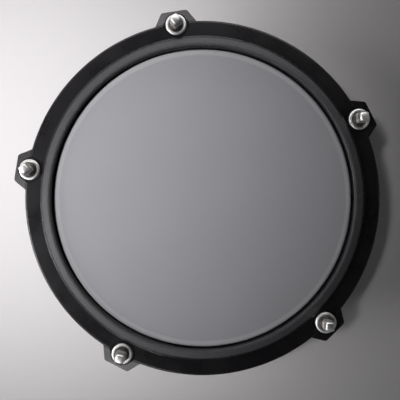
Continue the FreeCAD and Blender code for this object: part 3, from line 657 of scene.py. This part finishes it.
# %% Turn the washers
def make_washers():
    """One rounded cup section turned round each rod: a floor out to the cup, and a bead for its rim."""
    hole, cup, out = 3.3 * MM, 4.95 * MM, WASHER_R + 0.15 * MM
    floor, rim = SEAT_Z + 0.6 * MM, SEAT_Z + 1.4 * MM
    corners = [(hole, SEAT_Z, 0.05 * MM), (hole, floor, 0.15 * MM), (cup - 0.25 * MM, floor, 0.2 * MM),
               (cup + 0.05 * MM, rim, 0.85 * MM), (out, rim, 0.95 * MM), (out, SEAT_Z, 0.1 * MM)]
    profile = ring_profile(corners, 7)
    cups = [grid(lathe(profile, 72, place), loop=True) for place in ROD_PLACES]
    return build("cup_washers", *joined(cups), 50)


washers = make_washers()
washers.data.materials.append(
    turned_plating("nickel_washer_plating", (0.94, 0.93, 0.91), (0.86, 0.85, 0.83), 0.34, 0.44))
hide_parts("tension_washers")
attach(washers, "hoop_assembly")
print("washers:", len(washers.data.polygons), "faces")

# %% [markdown]
# ## Wing bolt and knob
# The clamp's bolt has the same kind of thread, at 1.25 mm pitch, lying along Y. The knob moulded on its
# end is a hub with two wings. In polar form round the bolt, a high power of the cosine gives two narrow
# lobes, and they reach from the hub out to a rounded paddle outline that widens towards the free end.

# %% Bolt and knob surfaces
BOLT_Z = middle("wing_bolt")[2]
BOLT_NEAR, BOLT_FAR = -high("wing_bolt")[1], -low("wing_bolt")[1]


def lying_down(reach, turn, radius):
    """Points round an axis along -Y at the bolt's height: x = r sin t, y = -reach, z = height + r cos t."""
    return np.stack([radius * np.sin(turn), -reach + 0 * radius, BOLT_Z + radius * np.cos(turn)], axis=-1)


def capped(reach, turn, radius):
    """The same, as a grid that is closed by a flat fan at each end."""
    ends = [lying_down(reach[[i]], turn, 0 * turn) for i in (0, -1)]
    return grid(np.concatenate([ends[0], lying_down(reach, turn, radius), ends[1]]), True, True)


def make_bolt(around=48, pitch=1.25 * MM, depth=0.6 * MM):
    """Radius = shank(s) - depth x fade x (1 - helix), with s the reach along the axis."""
    thread_end = 89.0 * MM
    shape = np.array([(BOLT_NEAR, 2.6), (BOLT_NEAR + 0.3 * MM, 3.1), (BOLT_NEAR + 1.2 * MM, 3.1),
                      (BOLT_NEAR + 2.0 * MM, 4.0), (BOLT_FAR, 4.0)]) * (1, MM)
    extra = np.arange(BOLT_NEAR + 1.2 * MM, thread_end + 0.5 * MM, pitch / 9)
    reach = np.union1d(shape[:, 0], extra)[:, None]
    turn = np.linspace(0, 2 * math.pi, around, endpoint=False)[None, :]
    cut = np.clip((reach - BOLT_NEAR - 1.0 * MM) / MM, 0, 1) * np.clip((thread_end - reach) / MM, 0, 1)
    r = np.interp(reach, shape[:, 0], shape[:, 1]) - depth * cut * (1 - helix(-turn, reach, pitch))
    return build("wing_bolt_threaded", *capped(reach, turn, r), 48)


def make_knob(around=180, wing_turn=28.0):
    """Radius = hub(s) + (paddle(s) - hub(s)) |cos(t - t0)|^n, with s along the axis.

    The paddle is a superellipse along s, |u|^3 + |v|^3 = 1, leaning outwards by a third from end to end.
    """
    near, far = -high("wing_knob")[1], -low("wing_knob")[1]
    corners = [(near, 6.4 * MM, 0), (near + 0.8 * MM, 7.0 * MM, 0.8 * MM),
               (near + 7.5 * MM, 7.4 * MM, 5 * MM), (far - 6.0 * MM, 5.4 * MM, 6 * MM),
               (far - 0.9 * MM, 4.6 * MM, 1.8 * MM), (far, 2.0 * MM, 0)]
    hub, _ = dense(rounded(corners, 10), 0.5 * MM)
    s, core = hub[:, :1], hub[:, 1:]
    along = np.clip((s - near - 2.2 * MM) / (far - near - 2.2 * MM), 0, 1)
    paddle = 13.9 * MM * (0.70 + 0.30 * along) * (1 - np.abs(2 * along - 1) ** 3) ** (1 / 3)
    turn = np.linspace(0, 2 * math.pi, around, endpoint=False)[None, :]
    lobe = np.abs(np.cos(turn - math.radians(wing_turn))) ** 20
    r = core + np.clip(paddle - core, 0, None) * lobe
    return build("wing_knob_moulded", *capped(s, turn, r), 60)


bolt = make_bolt()
bolt.data.materials.append(
    turned_plating("dark_bolt_plating", (0.32, 0.33, 0.34), (0.24, 0.25, 0.26), 0.28, 0.4))
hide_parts("wing_bolt")
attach(bolt, "wing_bolt")
knob = make_knob()
knob.data.materials.append(filled_nylon_knob())
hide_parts("wing_knob")
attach(knob, "wing_bolt")
print("bolt", len(bolt.data.polygons), "faces, knob", len(knob.data.polygons), "faces")

# %% [markdown]
# ## Foam inside
# A charcoal foam cone carries each hit from the mesh to the sensor, and thin white foam pads hold the
# sensors. Foam bulges where it is squeezed, so the cone's side swells a little and its foot spreads.

# %% Cut the foam
def foam_profile(name, shrink, bulge):
    """A cone or pad from its part's box, its side swelling by bulge sin(pi h) of the way up."""
    size = (high(name) - low(name))[0] / 2
    z0, z1 = low(name)[2], high(name)[2]
    side = rounded([(0, z0, 0), (size, z0, 0.4 * MM), (size, z0 + 0.12 * (z1 - z0), 0.4 * MM),
                    (size * shrink, z1, 0.5 * MM), (0, z1, 0)], 6)
    line, _ = dense(side, 1.0 * MM)
    swell = bulge * np.sin(math.pi * (line[:, 1] - z0) / (z1 - z0)) * (line[:, 0] > 0.2 * size)
    line[:, 0] = np.minimum(line[:, 0] + swell, size)
    return line


def make_foam(name, shrink, bulge):
    """The outline turned round the part's own axis, padded, on the drum."""
    profile = foam_profile(name, shrink, bulge)
    profile[[0, -1], 0] = 0.0
    centre = middle(name)[:2]
    piece = build(f"{name}_cut", *grid(lathe(profile, 96, centre), True, True), 50)
    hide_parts(name)
    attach(piece, "drum")
    return piece


charcoal = open_cell_foam("charcoal_foam", (0.012, 0.012, 0.013), (0.045, 0.045, 0.048), 900)
white = open_cell_foam("white_pad_foam", (0.50, 0.50, 0.47), (0.74, 0.74, 0.70), 1600)
for name, shrink, bulge, finish, slot in (("foam_cone", 0.38, 0.5 * MM, charcoal, "foam"),
                                          ("piezo_pad", 0.985, 0.1 * MM, white, "pad_foam"),
                                          ("rim_piezo_pad", 0.985, 0.1 * MM, white, "pad_foam")):
    foam = make_foam(name, shrink, bulge)
    foam.data.materials.append(finish)
    print(name, len(foam.data.polygons), "faces")

# %% [markdown]
# ## Dress the engineered parts
# Everything else keeps its engineered shape. Each part knows the slot it was designed with, so one
# table from slot to finish dresses them all.

# %% Finish for each slot
FINISHES = {
    "hoop_plastic": satin_hoop_moulding(),
    "shell_plastic": matt_shell_moulding(),
    "flesh_plastic": flesh_hoop_moulding(),
    "knob_plastic": knob.data.materials[0],
    "jack_plastic": glossy_jack_moulding(),
    "rim_rubber": rim.data.materials[0],
    "grommet_rubber": soft_grommet_rubber(),
    "mesh": head.data.materials[0],
    "foam": charcoal,
    "pad_foam": white,
    "rod_chrome": satin_rod,
    "washer_nickel": washers.data.materials[0],
    "screw_steel": bolt.data.materials[0],
    "jack_nickel": turned_plating("nickel_jack_plating", (0.66, 0.64, 0.60), (0.54, 0.52, 0.48), 0.18, 0.3),
    "brass": turned_plating("bare_brass", (0.62, 0.44, 0.18), (0.50, 0.34, 0.13), 0.26, 0.38),
    "plate_steel": zinc_sheet(),
    "die_cast": tumbled_casting(),
    "ceramic": silvered_ceramic(),
    "board_green": solder_mask(),
    "component": lacquered_component(),
    "header_white": natural_nylon(),
    "lead_red": lead_sheath("red_lead_sheath", (0.30, 0.015, 0.012), (0.40, 0.025, 0.020)),
    "lead_grey": lead_sheath("grey_lead_sheath", (0.08, 0.08, 0.085), (0.13, 0.13, 0.135)),
}
for row in frame["record"]["subparts"]:
    part = NODES[row["node"]].data
    part.materials.clear()
    part.materials.append(FINISHES[row["material_slot"]])
print("finishes:", len(FINISHES))

# %% [markdown]
# ## Floor, light and camera
# The pad lies on a plain pale floor. Two soft beams come from high on the left and fade across the
# head, like daylight from a window; they are kept out of reflections, where they would burn small
# white spots. Panels round the pad do the opposite: they are only seen in reflections, as long soft
# highlights on plastic, rubber and plating. One more panel on the left does both. The surroundings are
# paler near the floor than overhead, so plated parts have something to reflect at their edges and stay
# dark in the middle, as they do in a room.

# %% Floor
def make_floor(half=3.0, steps=25):
    """A square sheet just under the pad: x and y run over a grid, z is level."""
    side = np.linspace(-half, half, steps)
    x, y = np.meshgrid(side, side, indexing="ij")
    points = np.stack([x, y, 0 * x - 0.2 * MM], axis=-1).reshape(-1, 3)
    index = np.arange(steps * steps).reshape(steps, steps)
    corners = [index[:-1, :-1], index[1:, :-1], index[1:, 1:], index[:-1, 1:]]
    faces = np.stack(corners, axis=-1).reshape(-1, 4)
    mesh = bpy.data.meshes.new("floor")
    mesh.from_pydata(points.tolist(), [], faces.tolist())
    floor = bpy.data.objects.new("floor", mesh)
    bpy.context.scene.collection.objects.link(floor)
    return floor


floor = make_floor()
paper = Finish("pale_paper", Specular_IOR_Level=0.2)
paper.colour(paper.tint(paper.noise(3.0, 2.0), (0.70, 0.68, 0.68), (0.74, 0.72, 0.72)))
floor.data.materials.append(paper.rough(0.9).material)

# %% Lights
def hung(light, azimuth, elevation, distance, aim):
    """A lamp at a direction and distance from its aim, turned to face it; angles are in degrees."""
    az, el = math.radians(azimuth), math.radians(elevation)
    away = np.array([math.cos(az) * math.cos(el), math.sin(az) * math.cos(el), math.sin(el)])
    lamp = bpy.data.objects.new(light.name, light)
    lamp.location = np.array(aim) + distance * away
    lamp.rotation_euler = (math.pi / 2 - el, 0, az + math.pi / 2)
    bpy.context.scene.collection.objects.link(lamp)
    return lamp


def softbox(name, size, power, colour, azimuth, elevation, distance, aim=(0, 0, 0.05), spread=180.0):
    """A square panel of light; a small spread is a grid on its front, which keeps the light ahead of it."""
    light = bpy.data.lights.new(name, "AREA")
    light.shape = "SQUARE"
    light.size, light.energy, light.color = size, power, colour
    light.spread = math.radians(spread)
    return hung(light, azimuth, elevation, distance, aim)


def window(name, radius, power, colour, cone, azimuth, elevation, distance, aim):
    """A large round lamp whose beam fades smoothly from its middle to the edge of its cone."""
    light = bpy.data.lights.new(name, "SPOT")
    light.shadow_soft_size, light.energy, light.color = radius, power, colour
    light.spot_size, light.spot_blend = math.radians(cone), 1.0
    return hung(light, azimuth, elevation, distance, aim)


DAYLIGHT = (1.0, 0.99, 1.01)
beams = [
    window("left_beam", 0.12, 54.0, DAYLIGHT, 27.0, 160.0, 72.0, 1.20, (-0.185, 0.072, 0.06)),
    window("back_beam", 0.06, 14.0, DAYLIGHT, 21.0, 150.0, 72.0, 1.20, (-0.10, 0.08, 0.06))]
panels = [
    softbox(f"panel_{azimuth}", 0.45, power, DAYLIGHT, azimuth, 31.0, 0.60)
    for azimuth, power in ((70, 1.3), (115, 0.9), (160, 0.3), (220, 0.4))]
panels += [
    softbox(f"ear_panel_{azimuth}", 0.22, power, (1.0, 0.99, 1.0), azimuth, 40.0, 0.90)
    for azimuth, power in ((184, 2.2), (236, 1.1), (96, 0.3))]
softbox("left_panel", 0.50, 0.40, (1.0, 1.0, 1.0), 184.0, 38.0, 0.60, (-0.14, 0.0, 0.06), 70.0)
for lamp in beams:
    lamp.visible_glossy = False
for lamp in panels:
    lamp.visible_diffuse = False
print("lamps:", len(beams) + len(panels) + 1)

# %% Surroundings
world = bpy.data.worlds.new("studio")
world.use_nodes = True
nodes, links = world.node_tree.nodes, world.node_tree.links
height = nodes.new("ShaderNodeSeparateXYZ")
links.new(nodes.new("ShaderNodeTexCoord").outputs["Generated"], height.inputs[0])
fade = nodes.new("ShaderNodeMapRange")
for socket, value in (("From Min", 0.05), ("From Max", 0.8), ("To Min", 0.25), ("To Max", 0.01)):
    fade.inputs[socket].default_value = value
links.new(height.outputs["Z"], fade.inputs["Value"])
nodes["Background"].inputs["Color"].default_value = (0.95, 0.95, 1.0, 1.0)
links.new(fade.outputs[0], nodes["Background"].inputs["Strength"])
bpy.context.scene.world = world
bpy.context.scene.view_settings.view_transform = "Standard"

# %% Camera
def look_down(height, roll, aside, focal):
    """A camera that looks straight down from a height, turned by roll, a little aside from the axis."""
    camera = bpy.data.objects.new("camera", bpy.data.cameras.new("camera"))
    camera.data.sensor_width = 36.0
    camera.data.lens = focal
    right = np.array([math.cos(roll), math.sin(roll)])
    up = np.array([-math.sin(roll), math.cos(roll)])
    camera.location = (*(aside[0] * right + aside[1] * up), height)
    camera.rotation_euler = (0, 0, roll)
    bpy.context.scene.collection.objects.link(camera)
    bpy.context.scene.camera = camera
    return camera


look_down(height=0.391, roll=math.radians(-8.7), aside=(-1.65 * MM, -1.32 * MM), focal=45.0)

# %% Boxes
def plain(box):
    return [[float(value) for value in corner] for corner in box]
